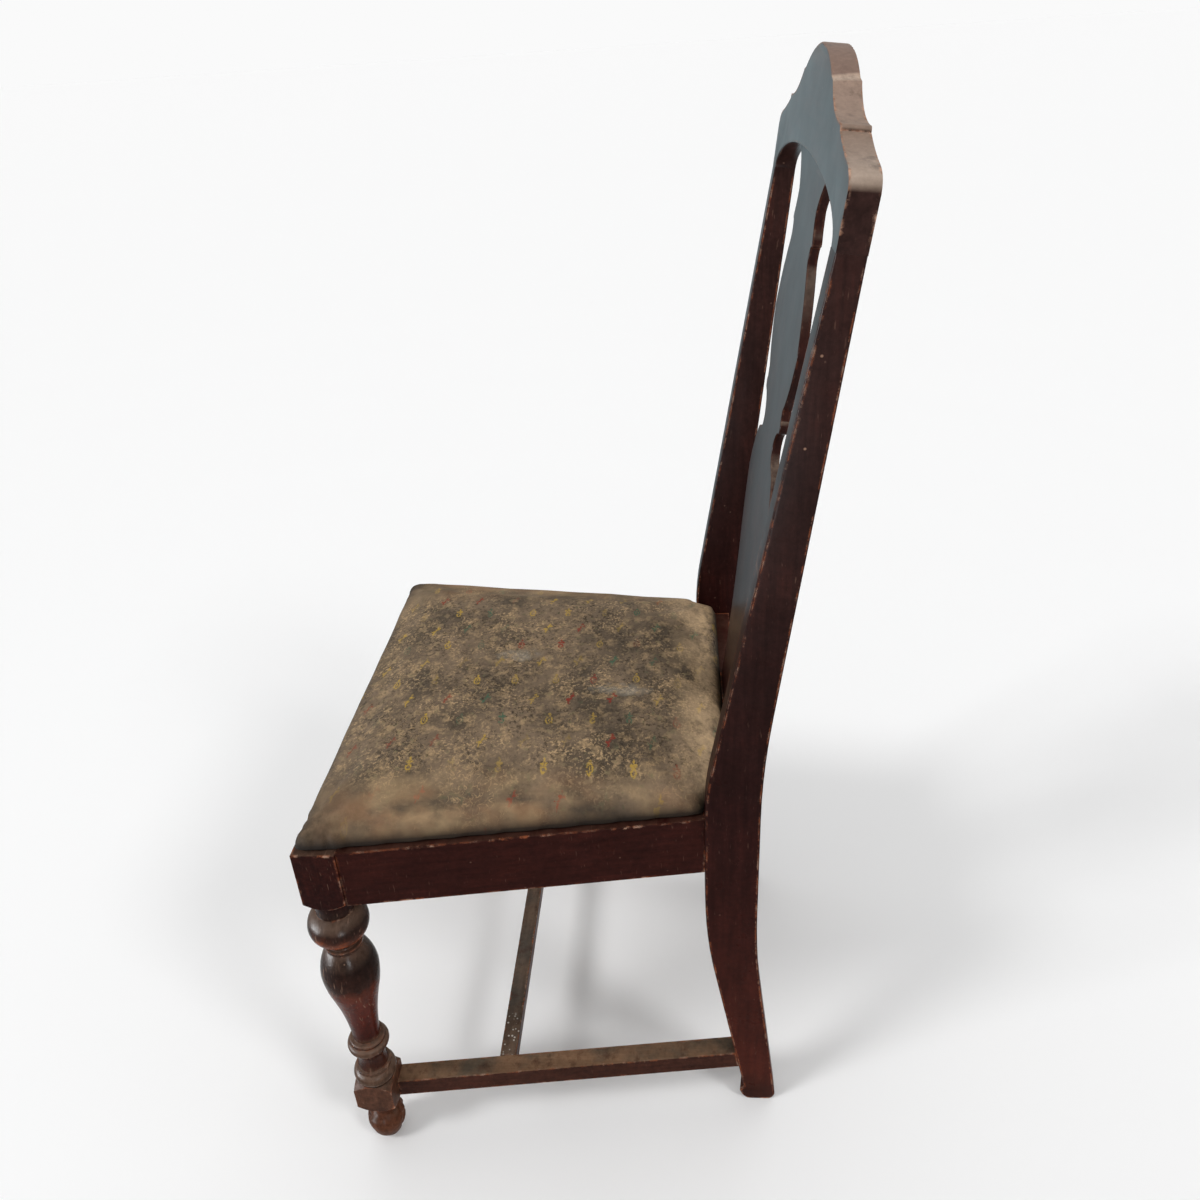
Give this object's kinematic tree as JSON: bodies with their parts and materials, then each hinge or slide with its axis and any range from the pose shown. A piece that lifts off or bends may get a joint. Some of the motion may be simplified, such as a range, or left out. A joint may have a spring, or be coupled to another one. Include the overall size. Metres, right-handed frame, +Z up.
{
  "type": "dining chair",
  "caption": "Dark stained wooden dining chair with a vase splat, stepped domed crest, turned front legs, H stretcher and a worn upholstered slip seat",
  "frame": {"origin": "on the floor, under the middle of the chair's bounding box", "axes": "+Z is up, -Y is the way the sitter faces, +X is the sitter's left"},
  "size_m": [0.496, 0.5006, 1.0498],
  "materials": {
    "stained_wood": "old varnish, worn at the edges",
    "plain_wood": "unfinished",
    "seat_cloth": "worn woven cloth",
    "padding": "loose fibre",
    "burlap": "coarse weave",
    "webbing": "woven strap",
    "steel": "dull"
  },
  "bodies": {
    "root": {"left_rear_post": "stained_wood", "right_rear_post": "stained_wood", "crest_rail": "stained_wood", "back_splat": "stained_wood", "front_seat_rail": "stained_wood", "rear_seat_rail": "stained_wood", "left_seat_rail": "stained_wood", "right_seat_rail": "stained_wood", "left_front_leg": "stained_wood", "right_front_leg": "stained_wood", "left_side_stretcher": "stained_wood", "right_side_stretcher": "stained_wood", "cross_stretcher": "stained_wood", "left_front_corner_block": "plain_wood", "right_front_corner_block": "plain_wood", "left_rear_corner_block": "plain_wood", "right_rear_corner_block": "plain_wood", "front_seat_frame_rail": "plain_wood", "rear_seat_frame_rail": "plain_wood", "left_seat_frame_rail": "plain_wood", "right_seat_frame_rail": "plain_wood", "crest_dowels": "plain_wood", "front_rail_dowels": "plain_wood", "side_rail_dowels": "plain_wood", "rear_rail_dowels": "plain_wood", "stretcher_dowels": "plain_wood", "seat_frame_dowels": "plain_wood", "seat_cover": "seat_cloth", "seat_padding": "padding", "seat_burlap": "burlap", "lengthwise_webbing": "webbing", "crosswise_webbing": "webbing", "corner_block_screws": "steel", "slip_seat_screws": "steel", "cover_tacks": "steel"}
  },
  "joints": []
}
